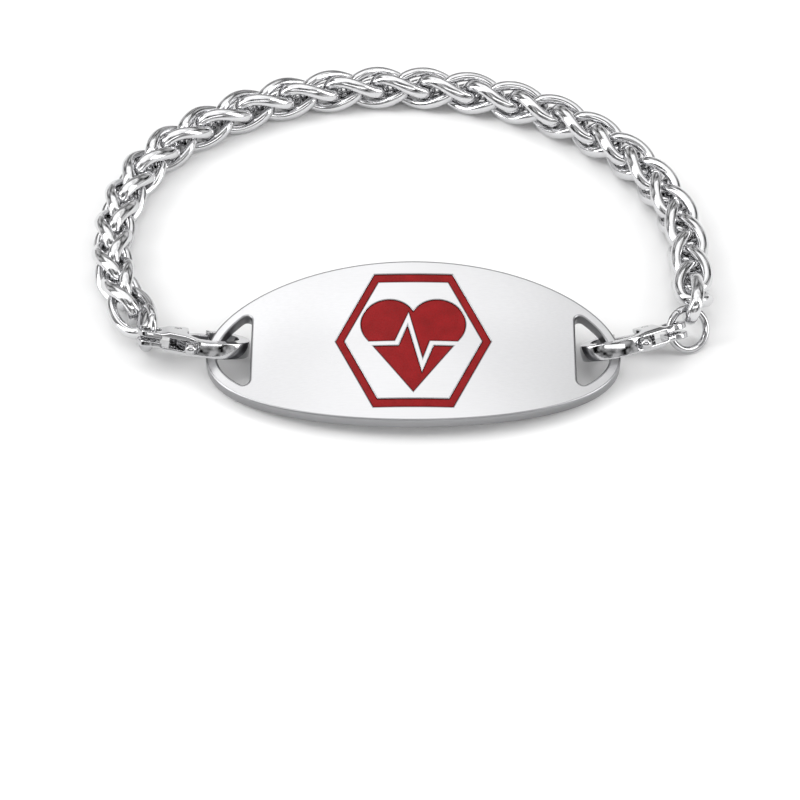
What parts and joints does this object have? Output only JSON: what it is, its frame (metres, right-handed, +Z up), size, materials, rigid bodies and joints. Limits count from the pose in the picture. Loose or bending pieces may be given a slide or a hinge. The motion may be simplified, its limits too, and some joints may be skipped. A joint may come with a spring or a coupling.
{
  "type": "medical alert bracelet",
  "caption": "Steel medical alert bracelet: curved oval identity plate with red enamel emblem, lobster clasps and a wheat chain lying in a loop.",
  "frame": {"origin": "middle of the bracelet's footprint, on the table that it lies on", "axes": "+X along the identity plate from the left clasp to the right one, +Y from the plate to the back of the chain, +Z up"},
  "size_m": [0.0786, 0.071, 0.01],
  "materials": {
    "plate_steel": "fine satin face with polished edges",
    "clasp_steel": "polished",
    "chain_steel": "mirror polished",
    "enamel_red": "smooth glossy enamel"
  },
  "bodies": {
    "bracelet": {"plate": "plate_steel", "enamel_border": "enamel_red", "enamel_heart_upper": "enamel_red", "enamel_heart_lower": "enamel_red", "clasp_body_left": "clasp_steel", "pivot_pin_left": "clasp_steel", "jump_ring_left": "clasp_steel", "clasp_body_right": "clasp_steel", "pivot_pin_right": "clasp_steel", "jump_ring_right": "clasp_steel", "link_01": "chain_steel", "link_02": "chain_steel", "link_03": "chain_steel", "link_04": "chain_steel", "link_05": "chain_steel", "link_06": "chain_steel", "link_07": "chain_steel", "link_08": "chain_steel", "link_09": "chain_steel", "link_10": "chain_steel", "link_11": "chain_steel", "link_12": "chain_steel", "link_13": "chain_steel", "link_14": "chain_steel", "link_15": "chain_steel", "link_16": "chain_steel", "link_17": "chain_steel", "link_18": "chain_steel", "link_19": "chain_steel", "link_20": "chain_steel", "link_21": "chain_steel", "link_22": "chain_steel", "link_23": "chain_steel", "link_24": "chain_steel", "link_25": "chain_steel", "link_26": "chain_steel", "link_27": "chain_steel", "link_28": "chain_steel", "link_29": "chain_steel", "link_30": "chain_steel", "link_31": "chain_steel", "link_32": "chain_steel", "link_33": "chain_steel", "link_34": "chain_steel", "link_35": "chain_steel", "link_36": "chain_steel", "link_37": "chain_steel", "link_38": "chain_steel", "link_39": "chain_steel", "link_40": "chain_steel", "link_41": "chain_steel", "link_42": "chain_steel", "link_43": "chain_steel", "link_44": "chain_steel"},
    "left_lever": {"clasp_lever_left": "clasp_steel"},
    "right_lever": {"clasp_lever_right": "clasp_steel"}
  },
  "joints": [
    {"name": "left_clasp_lever", "type": "hinge", "parent": "bracelet", "child": "left_lever", "pos_m": [-0.02721, -0.02031, 0.00292], "axis": [-0.1198, -0.4893, -0.8639], "range_deg": [0, 24], "stiffness_Nm_per_rad": 0.002},
    {"name": "right_clasp_lever", "type": "hinge", "parent": "bracelet", "child": "right_lever", "pos_m": [0.03042, -0.0194, 0.00238], "axis": [-0.2048, 0.5493, 0.8101], "range_deg": [0, 24], "stiffness_Nm_per_rad": 0.002}
  ]
}
